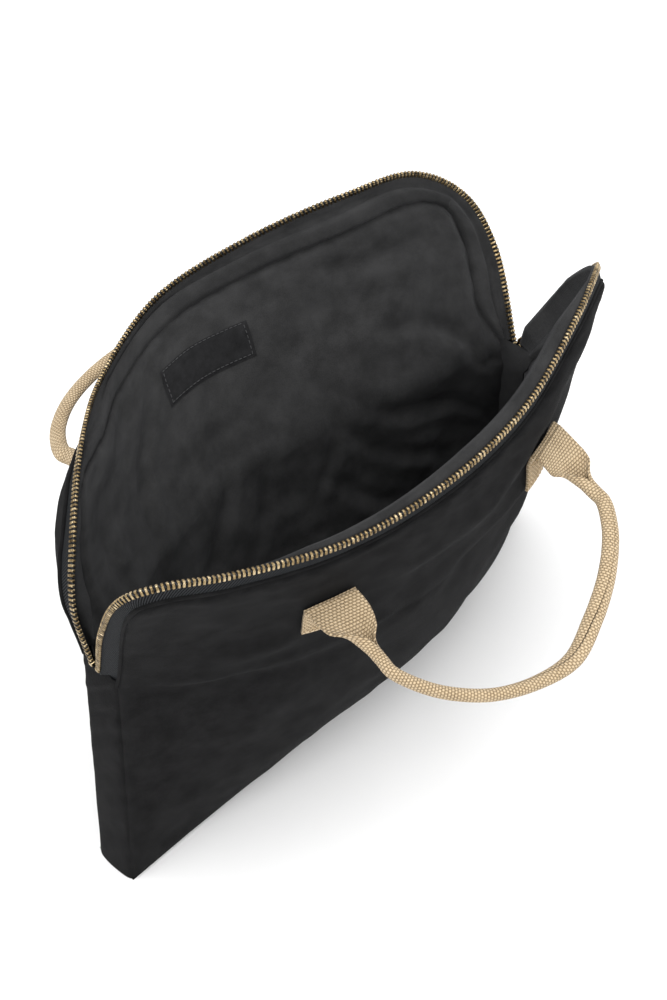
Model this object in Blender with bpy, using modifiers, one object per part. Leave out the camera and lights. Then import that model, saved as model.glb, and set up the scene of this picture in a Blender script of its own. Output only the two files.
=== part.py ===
"""Padded laptop sleeve with two webbing handles, standing with its zip wide open.

Units are metres.  X runs along the width, -Y is the front, +Z is up, and the origin lies in the
middle of the base, on the surface that the sleeve stands on.

Every sewn panel is a sheet in its own flat coordinates: u runs from the left seam to the right seam,
v from the bottom seam to the zip, both from 0 to 1.  The zip's two lines and the bottom seam say how
the panels bend while the sleeve is held open.
"""

import math

import bmesh
import bpy
import numpy as np
from mathutils import Vector

# ---------------------------------------------------------------- driving dimensions
WIDTH = 0.395             # cut width of each panel
HEIGHT = 0.285            # cut height of each panel, bottom seam to zip
DEPTH = 0.034             # width of the bottom and side gussets
ZIP_END_V = 0.58          # the zip ends this far up each side seam

CANVAS = 0.0010           # thickness of each layer of the wall, outside to inside
FOAM = 0.0036
LINING = 0.0008
GAP = 0.0005              # clearance between touching layers
FOLD_CLEARANCE = 0.0025   # between the bending zone and the wall above and below it

TAPE = 0.010              # zip tape showing between teeth and canvas, along the top
TAPE_AT_END = 0.015       # and at the two ends of the zip
TAPE_THICK = 0.0007
TEETH = 227               # teeth in each half
CORNER_TOOTH = 44         # the tooth in the middle of each rounded corner
CHAIN_HALF_WIDTH = 0.0015
CHAIN_THICK = 0.0026

WEBBING = 0.030           # width of the handle webbing where it is sewn down
WEBBING_THICK = 0.0018
GRIP_RADIUS = 0.0055      # the webbing rolled into a grip
TAB_LENGTH = 0.030        # webbing sewn to the panel below its fold
TAB_RAISE = WEBBING_THICK + 0.0012    # height of a tab's face above the canvas
FOLD_LIFT = 0.0060        # height of the strap's turning line above the canvas
STRAP_THICK = 0.0045      # the two turned-in layers of webbing between fold and grip
STRAP_START = 0.0020
LABEL_THICK = 0.0006

# ---------------------------------------------------------------- the open shape
# How far the bottom seam's right end swings back and draws in.
BASE_SWING = 0.032
BASE_DRAW = 0.010
# Extra outward belly of each panel, at its middle.
BELLY = {"front": 0.040, "back": 0.012}
# The tape's angle in degrees to the panel it is sewn to, as (tooth, angle) along the zip.
TAPE_FOLD = {
    "front": [(0, 65), (14, 50), (55, 48), (90, 16), (140, 30), (190, 52), (227, 65)],
    "back": [(0, 65), (14, 50), (60, 47), (113, 37), (170, 28), (213, 25), (227, 65)],
}
# Route of each half of the zip from its left end to its right end, in millimetres.
ZIP_ROUTE = {
    "front": [
        (-168, -2, 168), (-168, -22, 218), (-165, -53, 266), (-149, -66, 271), (-118, -78, 261),
        (-54, -98, 248), (13, -107, 248), (81, -99, 248), (145, -80, 259), (180, -63, 257),
        (204, -44, 240), (204, -18, 200), (180, -2, 168),
    ],
    "back": [
        (-168, 3, 168), (-164, 12, 206), (-147, 26, 230), (-101, 73, 245), (-52, 118, 238),
        (11, 141, 245), (66, 117, 266), (121, 83, 283), (170, 72, 276), (200, 58, 248),
        (206, 40, 212), (180, 2, 168),
    ],
}
SIDE = {"front": -1, "back": 1}

# ---------------------------------------------------------------- handles
# Flat coordinates of the two folds, and how far the resting arch droops below level.
FOLD_POINTS = {
    "front": ((0.281, 0.800), (0.695, 0.800)),
    "back": ((0.240, 0.760), (0.680, 0.760)),
}
DROOP = {"front": math.radians(20), "back": math.radians(3)}
# Half of the arch, as (share of the way to the middle, metres out from the fold line).
ARCH = [
    (0.00, 0.040), (0.00, 0.050), (0.10, 0.068), (0.22, 0.081), (0.42, 0.095), (0.70, 0.105),
    (1.00, 0.108),
]

# ---------------------------------------------------------------- zip end, slider and puller
ZIP_FOOT = Vector((0.1850, 0.0, 0.1500))   # lowest engaged tooth, on the right side
ENGAGED = 0.0175
SLIDER = Vector((0.0040, 0.0080, 0.0090))
SLIDER_WALL = 0.0010
PULLER_LENGTH = 0.024
PULLER_WIDTH = 0.0070
PULLER_THICK = 0.0012
RIGHT_END_TRIM = 0.35     # share of the last step of the tape and facing

# Grid steps of the sheets.
STEPS_ACROSS = 24
STEPS_LOWER = 6
STEPS_FLAP = 8


# ================================================================ small helpers
def unit(vectors):
    """Vectors scaled to length 1 along their last axis."""
    return vectors / np.linalg.norm(vectors, axis=-1, keepdims=True)


def ease(t):
    """Smooth step from 0 to 1."""
    t = np.clip(t, 0.0, 1.0)
    return t * t * (3.0 - 2.0 * t)


def even_points(path, count):
    """The path again, as points at equal distances along it."""
    lengths = np.linalg.norm(np.diff(path, axis=0), axis=1)
    along = np.concatenate([[0.0], np.cumsum(lengths)])
    wanted = np.linspace(0.0, along[-1], count)
    return np.stack([np.interp(wanted, along, path[:, k]) for k in range(3)], axis=-1)


def smooth_route(points, count):
    """A centripetal Catmull-Rom curve through the points, as evenly spaced points."""
    p = np.array(points, float)
    p = np.vstack([2 * p[0] - p[1], p, 2 * p[-1] - p[-2]])
    pieces = []
    for a, b, c, d in zip(p, p[1:], p[2:], p[3:]):
        t1 = np.linalg.norm(b - a) ** 0.5
        t2 = t1 + np.linalg.norm(c - b) ** 0.5
        t3 = t2 + np.linalg.norm(d - c) ** 0.5
        t = np.linspace(t1, t2, 40, endpoint=False)[:, None]
        ab = (t1 - t) / t1 * a + t / t1 * b
        bc = (t2 - t) / (t2 - t1) * b + (t - t1) / (t2 - t1) * c
        cd = (t3 - t) / (t3 - t2) * c + (t - t2) / (t3 - t2) * d
        abc = (t2 - t) / t2 * ab + t / t2 * bc
        bcd = (t3 - t) / (t3 - t1) * bc + (t - t1) / (t3 - t1) * cd
        pieces.append((t2 - t) / (t2 - t1) * abc + (t - t1) / (t2 - t1) * bcd)
    pieces.append(p[-2:-1])
    return even_points(np.vstack(pieces), count)


def along_path(path, share):
    """Points at the given shares, 0 to 1, of a path of evenly spaced points."""
    index = np.clip(share, 0.0, 1.0) * (len(path) - 1)
    steps = np.arange(len(path))
    return np.stack([np.interp(index, steps, path[:, k]) for k in range(3)], axis=-1)


# ================================================================ shape of the open sleeve
def zip_frame(half):
    """The zip's line at each tooth, with the directions along it, into the panel and outward."""
    line = smooth_route(ZIP_ROUTE[half], TEETH + 1) * 0.001
    along = unit(np.gradient(line, axis=0))
    panel_middle = np.array([0.005, SIDE[half] * 0.055, 0.120])
    into = panel_middle - line
    into = unit(into - (into * along).sum(axis=1, keepdims=True) * along)
    outward = np.cross(along, into)
    outward *= np.sign(outward[:, 1:2] * SIDE[half])
    return line, along, into, outward


def canvas_edge(half):
    """The edge of the canvas at each tooth, one tape's width from the zip's line."""
    line, _, into, outward = zip_frame(half)
    tooth = np.arange(TEETH + 1)
    from_end = np.minimum(tooth, TEETH - tooth)
    fold = np.radians(np.interp(tooth, *np.transpose(TAPE_FOLD[half])))
    width = TAPE_AT_END + (TAPE - TAPE_AT_END) * ease(from_end / CORNER_TOOTH)
    fold = fold[:, None]
    return line + width[:, None] * (np.cos(fold) * into + np.sin(fold) * outward)


EDGE = {half: canvas_edge(half) for half in SIDE}


def bottom_edge(half, u):
    """The bottom seam at flat coordinate u."""
    swing = np.clip(2 * u - 1, 0.0, 1.0) ** 2
    x = (u - 0.5) * WIDTH - BASE_DRAW * swing
    y = SIDE[half] * DEPTH / 2 + BASE_SWING * swing
    return np.stack([x, y, 0 * u], axis=-1)


def side_edge(half, v, left):
    """The side seam up to the zip's end, and the canvas edge above it, to mid-corner."""
    edge = EDGE[half] if left else EDGE[half][::-1]
    foot = bottom_edge(half, np.array([0.0 if left else 1.0]))
    v = v[:, None]
    seam = foot + (edge[0] - foot) * np.clip(v / ZIP_END_V, 0.0, 1.0)
    zipped = along_path(edge[:CORNER_TOOTH + 1], (v[:, 0] - ZIP_END_V) / (1 - ZIP_END_V))
    return np.where(v < ZIP_END_V, seam, zipped)


def top_edge(half, u):
    """The canvas edge from one mid-corner to the other."""
    return along_path(EDGE[half][CORNER_TOOTH:TEETH - CORNER_TOOTH + 1], u)


def panel_points(half, u, v):
    """Outer face of a panel at flat coordinates u and v, as a patch between its four edges."""
    zero, one = np.array([0.0]), np.array([1.0])
    bottom, top = bottom_edge(half, u), top_edge(half, u)
    left, right = side_edge(half, v, True), side_edge(half, v, False)
    u, v = u[:, None], v[:, None]
    corners = (
        (1 - u) * (1 - v) * bottom_edge(half, zero) + u * (1 - v) * bottom_edge(half, one)
        + (1 - u) * v * top_edge(half, zero) + u * v * top_edge(half, one)
    )
    patch = (1 - v) * bottom + v * top + (1 - u) * left + u * right - corners
    belly = BELLY[half] * 4 * u * (1 - u) * 4 * v * (1 - v)
    return patch + np.array([0.0, SIDE[half], 0.0]) * belly


def panel_frame(half, u, v):
    """Directions across a panel, up it and out of it, at arrays of flat coordinates.

    Just inside the panel's edges the directions are steady, so the edges take them from there.
    """
    e, margin = 0.004, 0.035
    u = np.clip(u, margin, 1 - margin)
    v = np.clip(v, margin, 1 - margin)
    across = unit(panel_points(half, u + e, v) - panel_points(half, u - e, v))
    up = unit(panel_points(half, u, v + e) - panel_points(half, u, v - e))
    out = unit(np.cross(across, up))
    out *= np.sign(out[:, 1:2] * SIDE[half])
    return across, up, out


def fold_zone(u):
    """Half of the height of the zone where a panel bends at the zip's ends, in v."""
    return (0.005 + 0.018 * 4 * u * (1 - u)) / HEIGHT


# ================================================================ objects
def finished(name, mesh_or_curve, material, at=(0.0, 0.0, 0.0)):
    """An object of the sleeve, with its material, in the sleeve's collection."""
    mesh_or_curve.materials.append(material)
    obj = bpy.data.objects.new(name, mesh_or_curve)
    obj.location = at
    SLEEVE.objects.link(obj)
    return obj


def grid_mesh(name, points, origin):
    """An open sheet of quads through a rectangular array of points, stored about an origin."""
    bm = bmesh.new()
    verts = [[bm.verts.new(p - np.array(origin)) for p in row] for row in points]
    for low, high in zip(verts, verts[1:]):
        for a, b, c, d in zip(low, low[1:], high[1:], high):
            bm.faces.new((a, b, c, d))
    mesh = bpy.data.meshes.new(name)
    bm.to_mesh(mesh)
    bm.free()
    return mesh


def sheet(name, points, thick, material, facing, origin=(0.0, 0.0, 0.0)):
    """A sheet of material through grid points, thickened away from its outer side.

    facing is the direction that the outer side looks along at the sheet's middle.
    """
    middle = points.shape[1] // 2
    across = points[0][middle] - points[0][middle - 1]
    upward = points[-1][middle] - points[0][middle]
    if np.dot(np.cross(across, upward), facing) < 0:
        points = points[:, ::-1]
    mesh = grid_mesh(name, points, origin)
    mesh.shade_smooth()
    obj = finished(name, mesh, material, origin)
    solidify = obj.modifiers.new("Thickness", "SOLIDIFY")
    solidify.thickness = thick
    solidify.offset = -1.0
    return obj


def ribbon(name, one_edge, other_edge, thick, material, facing, origin=(0.0, 0.0, 0.0)):
    """A long strip between two edges."""
    return sheet(name, np.stack([one_edge, other_edge]), thick, material, facing, origin)


def rounded_box(name, size, at, material, bevel):
    """A box with rounded edges, centred at a point."""
    bm = bmesh.new()
    bmesh.ops.create_cube(bm, size=1.0)
    bmesh.ops.scale(bm, vec=size, verts=bm.verts)
    mesh = bpy.data.meshes.new(name)
    bm.to_mesh(mesh)
    bm.free()
    obj = finished(name, mesh, material, at)
    rounding = obj.modifiers.new("Rounding", "BEVEL")
    rounding.width = bevel
    rounding.segments = 2
    return obj


def cutter_box(name, size, at):
    """A box for cutting or joining, kept out of the model."""
    bm = bmesh.new()
    bmesh.ops.create_cube(bm, size=1.0)
    bmesh.ops.scale(bm, vec=size, verts=bm.verts)
    mesh = bpy.data.meshes.new(name)
    bm.to_mesh(mesh)
    bm.free()
    obj = bpy.data.objects.new(name, mesh)
    obj.location = at
    obj.hide_render = True
    obj.display_type = "WIRE"
    CUTTERS.objects.link(obj)
    return obj


def boolean(obj, operation, tool):
    """One Boolean step on an object."""
    step = obj.modifiers.new(tool.name, "BOOLEAN")
    step.operation = operation
    step.solver = "EXACT"
    step.object = tool


def tube(name, path, radius, material, origin):
    """A round bar along a path of points."""
    curve = bpy.data.curves.new(name, "CURVE")
    curve.dimensions = "3D"
    curve.bevel_depth = radius
    curve.bevel_resolution = 2
    curve.use_fill_caps = True
    spline = curve.splines.new("POLY")
    spline.points.add(len(path) - 1)
    for point, place in zip(spline.points, path):
        point.co = (*(place - np.array(origin)), 1.0)
    return finished(name, curve, material, origin)


def material(name, colour, roughness, metallic=0.0):
    """A Principled material."""
    made = bpy.data.materials.new(name)
    made.use_nodes = True
    shader = made.node_tree.nodes["Principled BSDF"]
    shader.inputs["Base Color"].default_value = (*colour, 1.0)
    shader.inputs["Roughness"].default_value = roughness
    shader.inputs["Metallic"].default_value = metallic
    return made


# ================================================================ padded walls
def wall_grid(half, u, low, high, shares, depth=0.0):
    """Grid of points between two heights of a panel, sunk into the wall by depth."""
    v = low + (high - low) * shares[:, None]
    flat_u, flat_v = np.tile(u, len(shares)), v.ravel()
    points = panel_points(half, flat_u, flat_v)
    if depth:
        points = points - panel_frame(half, flat_u, flat_v)[2] * depth
    return points.reshape(len(shares), len(u), 3)


def steps_across(margin=0.0):
    """Flat u of a wall's columns, closer together towards both side edges."""
    t = np.linspace(0.0, 1.0, STEPS_ACROSS + 1)
    u = 0.5 * t + 0.25 * (1 - np.cos(math.pi * t))
    return margin + (1 - 2 * margin) * u


def flap_steps():
    """Shares of a flap's height for its rows, closer together towards the zip."""
    return 1 - (1 - np.linspace(0.0, 1.0, STEPS_FLAP + 1)) ** 1.5


def make_wall(half):
    """Canvas, foam and lining of one side: the lower panel, the flap and the fold between them."""
    out = np.array([0.0, SIDE[half], 0.0])
    hinge = flap_hinge(half)
    foam_depth = CANVAS + GAP
    lining_depth = foam_depth + FOAM + GAP
    layers = (
        ("canvas", 0.0, 0.0, CANVAS, CANVAS_BLACK),
        ("foam", foam_depth, 0.0024, FOAM, FOAM_GREY),
        ("lining", lining_depth, 0.0024, LINING, LINING_BLACK),
    )
    for layer, depth, inset, thick, look in layers:
        u = steps_across(inset / WIDTH)
        foot = (CANVAS + GAP + 1.5 * inset) / HEIGHT + 0 * u
        top = 1 - inset / HEIGHT + 0 * u
        rows = np.linspace(0.0, 1.0, STEPS_LOWER + 1)
        lower = wall_grid(half, u, foot, ZIP_END_V - fold_zone(u), rows, depth)
        flap = wall_grid(half, u, ZIP_END_V + fold_zone(u), top, flap_steps(), depth)
        sheet(f"{half}_{layer}_lower", lower, thick, look, out)
        sheet(f"{half}_{layer}_flap", flap, thick, look, out, hinge)

    u = steps_across()
    clear = FOLD_CLEARANCE / HEIGHT
    low, high = ZIP_END_V - fold_zone(u) + clear, ZIP_END_V + fold_zone(u) - clear
    fold = wall_grid(half, u, low, high, np.array([0.0, 0.5, 1.0]))
    sheet(f"{half}_fold", fold, lining_depth + LINING, CANVAS_BLACK, out)


def flap_hinge(half):
    """A point on the line that a flap bends about: it joins the zip's two ends."""
    return (0.0, SIDE[half] * 0.002, ZIP_FOOT.z + 0.016)


# ================================================================ gussets
def seam_line(half, left, heights):
    """A side seam at the given heights in v."""
    return side_edge(half, np.array(heights), left)


def make_side_gusset(name, left, top_v):
    """One side gusset with the lining behind it."""
    outward = -1.0 if left else 1.0
    heights = np.linspace(0.0, top_v, 7)
    front, back = seam_line("front", left, heights), seam_line("back", left, heights)
    across = np.linspace(0.0, 1.0, 5)[:, None, None]
    strip = front + (back - front) * across
    belly = 0.002 * 4 * across * (1 - across) * np.sin(heights / top_v * math.pi)[:, None]
    outer = strip + np.array([outward, 0.0, 0.0]) * (GAP + CANVAS + belly)
    facing = np.array([outward, 0.0, 0.0])
    sheet(f"{name}_gusset", outer, CANVAS, CANVAS_BLACK, facing)

    inner_heights = np.linspace(0.012, top_v - 0.02, 7)
    front, back = seam_line("front", left, inner_heights), seam_line("back", left, inner_heights)
    wall = CANVAS + GAP + FOAM + GAP + LINING + GAP
    margin = (wall + 0.0010) / np.linalg.norm(back - front, axis=-1, keepdims=True)
    inner = front + (back - front) * (margin + (1 - 2 * margin) * across)
    inner = inner - np.array([outward * GAP, 0.0, 0.0])
    sheet(f"{name}_gusset_lining", inner, LINING, LINING_BLACK, facing)


def make_bottom_gusset():
    """The flat strip that the sleeve stands on, and its lining."""
    u = np.linspace(0.0, 1.0, STEPS_ACROSS + 1)
    front, back = bottom_edge("front", u), bottom_edge("back", u)
    across = np.linspace(0.0, 1.0, 3)[:, None, None]
    strip = front + (back - front) * across
    down = np.array([0.0, 0.0, -1.0])
    sheet("bottom_gusset", strip, CANVAS, CANVAS_BLACK, down)

    u = np.linspace(0.03, 0.97, STEPS_ACROSS + 1)
    front, back = bottom_edge("front", u), bottom_edge("back", u)
    inset = (CANVAS + FOAM + LINING + 4 * GAP + 0.0006) / DEPTH
    strip = front + (back - front) * (inset + (1 - 2 * inset) * across)
    strip = strip + np.array([0.0, 0.0, CANVAS + GAP])
    sheet("bottom_gusset_lining", strip, LINING, LINING_BLACK, down)


# ================================================================ zip
def rim_stations():
    """Tooth numbers along the zip, at the flap's own edge points, and their flat u and v."""
    low = ZIP_END_V + fold_zone(0.0)
    side_v = low + (1 - low) * flap_steps()
    side_tooth = (side_v - ZIP_END_V) / (1 - ZIP_END_V) * CORNER_TOOTH
    top_u = steps_across()[1:-1]
    top_tooth = CORNER_TOOTH + top_u * (TEETH - 2 * CORNER_TOOTH)
    tooth = np.concatenate([side_tooth, top_tooth, (TEETH - side_tooth)[::-1]])
    u = np.concatenate([0 * side_v, top_u, 0 * side_v + 1])
    v = np.concatenate([side_v, 0 * top_u + 1, side_v[::-1]])
    return tooth, u, v


def trim_right_end(points):
    """Shorten a strip at the right end of the zip, where the closed stretch takes over."""
    points[-1] += (points[-2] - points[-1]) * RIGHT_END_TRIM


def make_zip_half(half):
    """Tape, chain of teeth, inner facing and top stop of one half of the zip."""
    hinge = flap_hinge(half)
    tooth, u, v = rim_stations()
    line, _, _, outward = zip_frame(half)
    line, outward = along_path(line, tooth / TEETH), along_path(outward, tooth / TEETH)
    edge = panel_points(half, u, v)
    to_canvas = unit(edge - line)
    along = unit(np.gradient(line, axis=0))
    tape_out = unit(np.cross(along, to_canvas))
    tape_out *= np.sign((tape_out * outward).sum(axis=1, keepdims=True))
    middle = len(tooth) // 2

    half_thick = CHAIN_THICK / 2
    chain_in = line - to_canvas * CHAIN_HALF_WIDTH + tape_out * half_thick
    chain_out = line + to_canvas * CHAIN_HALF_WIDTH + tape_out * half_thick
    ribbon(f"{half}_zip_teeth", chain_in, chain_out, CHAIN_THICK, BRASS, tape_out[middle], hinge)

    wall = CANVAS + FOAM + LINING + 2 * GAP
    wall_out = panel_frame(half, u, v)[2]
    beyond = unit(np.cross(wall_out, along))
    beyond *= np.sign(np.dot(beyond[middle], (line - edge)[middle]))
    tape_in = line + to_canvas * (CHAIN_HALF_WIDTH + GAP) + tape_out * TAPE_THICK / 2
    tape_edge = edge + beyond * (GAP + TAPE_THICK) + tape_out * TAPE_THICK / 2
    for edge_points in (tape_in, tape_edge):
        trim_right_end(edge_points)
    ribbon(f"{half}_zip_tape", tape_in, tape_edge, TAPE_THICK, TAPE_GREY, tape_out[middle], hinge)

    facing_in = line + to_canvas * (CHAIN_HALF_WIDTH + 0.0014) - tape_out * 0.0018
    facing_edge = edge + beyond * 0.0008 - wall_out * wall
    for edge_points in (facing_in, facing_edge):
        trim_right_end(edge_points)
    ribbon(
        f"{half}_facing", facing_in, facing_edge, LINING, LINING_BLACK, tape_out[middle], hinge
    )
    stop_size = Vector((0.0032, 0.0030, 0.0026))
    stop = rounded_box(f"{half}_top_stop", stop_size, (0, 0, 0), BRASS, 0.0005)
    stop.location = Vector(line[0]) - Vector(along[0]) * 0.0035


def make_zip_end():
    """The closed stretch of zip at the right end: tape, engaged teeth and bottom stop."""
    tape_size = Vector((TAPE_THICK, 0.0240, ENGAGED + 0.0060))
    tape_at = ZIP_FOOT + Vector((-0.0022, 0.0, ENGAGED / 2 - 0.0030))
    rounded_box("zip_end_tape", tape_size, tape_at, TAPE_GREY, 0.0002)
    teeth_size = Vector((CHAIN_THICK, 0.0050, ENGAGED))
    teeth_at = ZIP_FOOT + Vector((0.0, 0.0, ENGAGED / 2))
    rounded_box("engaged_teeth", teeth_size, teeth_at, BRASS, 0.0004)
    stop_at = ZIP_FOOT - Vector((0.0, 0.0, 0.0018))
    rounded_box("bottom_stop", Vector((0.0034, 0.0060, 0.0028)), stop_at, BRASS, 0.0006)


def make_slider():
    """The slider: a channel over the engaged teeth, with a bridge for the puller."""
    top = ZIP_FOOT.z + ENGAGED + 0.0015
    centre = Vector((ZIP_FOOT.x + 0.0010, 0.0, top - SLIDER.z / 2))
    slider = rounded_box("slider", SLIDER, centre, BRASS, 0.0008)
    channel_size = Vector((SLIDER.x, SLIDER.y - 2 * SLIDER_WALL, SLIDER.z + 0.002))
    channel = cutter_box("slider_channel", channel_size, centre - Vector((SLIDER_WALL, 0.0, 0.0)))
    boolean(slider, "DIFFERENCE", channel)
    plate_x = centre.x + SLIDER.x / 2
    bridge_reach = 0.0036
    bridge_at = Vector((plate_x + bridge_reach / 2 - 0.0004, 0.0, centre.z))
    bridge = cutter_box("bridge", Vector((bridge_reach, 0.0014, 0.0080)), bridge_at)
    boolean(slider, "UNION", bridge)
    window_at = Vector((plate_x + 0.0012, 0.0, centre.z))
    window = cutter_box("bridge_window", Vector((0.0024, 0.0030, 0.0056)), window_at)
    boolean(slider, "DIFFERENCE", window)

    axis_point = Vector((plate_x + 0.0012, 0.0, centre.z + 0.0012))
    plate_size = Vector((PULLER_THICK, PULLER_WIDTH, PULLER_LENGTH))
    puller = rounded_box("puller", plate_size, (0, 0, 0), BRASS, 0.0004)
    reach = PULLER_LENGTH / 2 - 0.0007
    for vertex in puller.data.vertices:
        vertex.co.z -= reach
    puller.location = axis_point
    eye_length = 0.0062
    eye_at = axis_point - Vector((0.0, 0.0, 0.0007 + eye_length / 2))
    eye = cutter_box("puller_eye", Vector((0.004, 0.0042, eye_length)), eye_at)
    boolean(puller, "DIFFERENCE", eye)


# ================================================================ handles
def make_handle(half):
    """One handle: two sewn tabs on the flap, and the strap that turns about its folds."""
    fold_u, fold_v = np.array(FOLD_POINTS[half]).T
    across, _, wall_out = panel_frame(half, fold_u, fold_v)
    left_fold, right_fold = panel_points(half, fold_u, fold_v) + wall_out * FOLD_LIFT
    axis = unit(right_fold - left_fold)
    out = np.array([0.0, SIDE[half] * math.cos(DROOP[half]), -math.sin(DROOP[half])])
    out = unit(out - np.dot(out, axis) * axis)
    face = np.array([0.0, SIDE[half], 0.0])

    shares = np.linspace(0.0, 1.0, 4)
    for end, u, v in zip(("left", "right"), fold_u, fold_v):
        tab_u = u + (shares - 0.5) * WEBBING / WIDTH
        low, high = v - TAB_LENGTH / HEIGHT + 0 * tab_u, v - 0.001 / HEIGHT + 0 * tab_u
        tab = wall_grid(half, tab_u, low, high, shares, -TAB_RAISE)
        sheet(f"{half}_tab_{end}", tab, WEBBING_THICK, WEBBING_TAN, face, flap_hinge(half))

    middle = (left_fold + right_fold) / 2
    half_span = np.linalg.norm(right_fold - left_fold) / 2
    arch = [(share * half_span - half_span, reach) for share, reach in ARCH]
    arch += [(-x, reach) for x, reach in arch[-2::-1]]
    path = np.array([middle + axis * x + out * reach for x, reach in arch])
    tube(f"{half}_grip", smooth_route(path, 26), GRIP_RADIUS, WEBBING_TAN, tuple(middle))

    upper = np.cross(axis, out)
    upper *= np.sign(upper[2])
    for end, fold, local in (("left", left_fold, across[0]), ("right", right_fold, across[1])):
        share = np.linspace(0.0, 1.0, 5)[:, None]
        reach = STRAP_START + share * (ARCH[0][1] - STRAP_START - GAP)
        width = (WEBBING + (2 * GRIP_RADIUS - WEBBING) * ease(share)) / 2
        sideways = unit(local + (axis - local) * ease(share))
        centre = fold + out * reach + upper * STRAP_THICK / 2
        ribbon(
            f"{half}_strap_{end}", centre - sideways * width, centre + sideways * width,
            STRAP_THICK, WEBBING_TAN, upper, tuple(middle),
        )


def make_label():
    """The plain woven label sewn inside the back flap."""
    u = np.linspace(0.365, 0.540, 5)
    depth = CANVAS + FOAM + LINING + 2 * GAP + 0.0012
    points = wall_grid("back", u, 0.785 + 0 * u, 0.865 + 0 * u, np.array([0.0, 0.5, 1.0]), depth)
    out = np.array([0.0, 1.0, 0.0])
    sheet("inner_label", points, LABEL_THICK, LABEL_BLACK, out, flap_hinge("back"))


# ================================================================ build
for old in list(bpy.data.objects):
    bpy.data.objects.remove(old)
SLEEVE = bpy.data.collections.new("Laptop sleeve")
CUTTERS = bpy.data.collections.new("Cutters")
bpy.context.scene.collection.children.link(SLEEVE)
bpy.context.scene.collection.children.link(CUTTERS)

CANVAS_BLACK = material("canvas", (0.020, 0.020, 0.021), 0.90)
LINING_BLACK = material("lining", (0.030, 0.030, 0.031), 0.92)
FOAM_GREY = material("foam", (0.20, 0.20, 0.21), 0.95)
TAPE_GREY = material("zip_tape", (0.045, 0.050, 0.056), 0.80)
BRASS = material("antique_brass", (0.42, 0.30, 0.14), 0.38, 1.0)
WEBBING_TAN = material("webbing", (0.58, 0.43, 0.26), 0.90)
LABEL_BLACK = material("label", (0.018, 0.018, 0.019), 0.80)

for half_name in SIDE:
    make_wall(half_name)
    make_zip_half(half_name)
    make_handle(half_name)
make_side_gusset("left", True, 0.555)
make_side_gusset("right", False, 0.480)
make_bottom_gusset()
make_zip_end()
make_slider()
make_label()
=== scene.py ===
"""The look of the padded laptop sleeve: cloth, zip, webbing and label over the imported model.

Units are metres, in the model's own frame: X along the width, -Y the front, +Z up.  As in the model,
a panel's flat coordinates are u, from the left seam to the right seam, and v, from the bottom seam to
the zip, both from 0 to 1.
"""

import math

import bmesh
import bpy
import numpy as np
from mathutils import Matrix, Vector


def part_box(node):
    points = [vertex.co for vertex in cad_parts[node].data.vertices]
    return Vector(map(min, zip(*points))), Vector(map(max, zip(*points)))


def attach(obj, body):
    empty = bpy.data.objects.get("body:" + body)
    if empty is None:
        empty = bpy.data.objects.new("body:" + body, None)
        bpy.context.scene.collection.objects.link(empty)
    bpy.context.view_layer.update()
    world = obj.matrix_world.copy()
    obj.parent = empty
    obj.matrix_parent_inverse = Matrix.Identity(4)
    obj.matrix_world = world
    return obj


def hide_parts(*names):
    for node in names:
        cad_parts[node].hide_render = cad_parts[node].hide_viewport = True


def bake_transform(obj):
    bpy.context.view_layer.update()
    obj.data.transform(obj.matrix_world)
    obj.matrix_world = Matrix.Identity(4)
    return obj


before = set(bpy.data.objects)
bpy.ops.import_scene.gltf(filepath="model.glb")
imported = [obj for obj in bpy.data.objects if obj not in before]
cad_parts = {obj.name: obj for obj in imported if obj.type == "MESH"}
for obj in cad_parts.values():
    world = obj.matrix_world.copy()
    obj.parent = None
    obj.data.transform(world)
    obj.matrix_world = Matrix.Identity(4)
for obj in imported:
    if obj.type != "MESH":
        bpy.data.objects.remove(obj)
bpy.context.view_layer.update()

# -------------------- dimensions, as in the model
WIDTH = 0.395
HEIGHT = 0.285
DEPTH = 0.034
ZIP_END_V = 0.58
WALL = 0.0064  # canvas, foam and lining together
TAPE = 0.010
TAPE_AT_END = 0.015
TEETH = 227
TOOTH_PITCH = 0.0027
CORNER_TOOTH = 44
BASE_SWING = 0.032
BASE_DRAW = 0.010
BELLY = {"front": 0.040, "back": 0.012}
# The tape's angle in degrees to its panel, as (tooth, angle).  On the back's left side it is opened
# further than in the model, so that the tape shows beside its teeth.
TAPE_FOLD = {
    "front": [(0, 65), (14, 50), (55, 48), (90, 16), (140, 30), (190, 52), (227, 65)],
    "back": [
        (0, 60), (10, 62), (26, 84), (44, 84), (64, 47), (113, 37), (170, 28), (213, 25), (227, 65),
    ],
}
ZIP_ROUTE = {
    "front": [
        (-168, -2, 168), (-168, -22, 218), (-165, -53, 266), (-149, -66, 271), (-118, -78, 261),
        (-54, -98, 248), (13, -107, 248), (81, -99, 248), (145, -80, 259), (180, -63, 257),
        (204, -44, 240), (204, -18, 200), (180, -2, 168),
    ],
    "back": [
        (-168, 3, 168), (-164, 12, 206), (-147, 26, 230), (-101, 73, 245), (-52, 118, 238),
        (11, 141, 245), (66, 117, 266), (121, 83, 283), (170, 72, 276), (200, 58, 248),
        (206, 40, 212), (180, 2, 168),
    ],
}
SIDE = {"front": -1, "back": 1}
FOLD_POINTS = {
    "front": ((0.281, 0.800), (0.695, 0.800)),
    "back": ((0.240, 0.760), (0.680, 0.760)),
}
DROOP = {"front": math.radians(20), "back": math.radians(3)}
ARCH = [
    (0.00, 0.040), (0.00, 0.050), (0.10, 0.068), (0.22, 0.081), (0.42, 0.095), (0.70, 0.105),
    (1.00, 0.108),
]
FOLD_LIFT = 0.0060
WEBBING = 0.030
WEBBING_THICK = 0.0018
TAB_LENGTH = 0.030
LABEL_CORNERS = ((0.365, 0.785), (0.540, 0.865))

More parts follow.
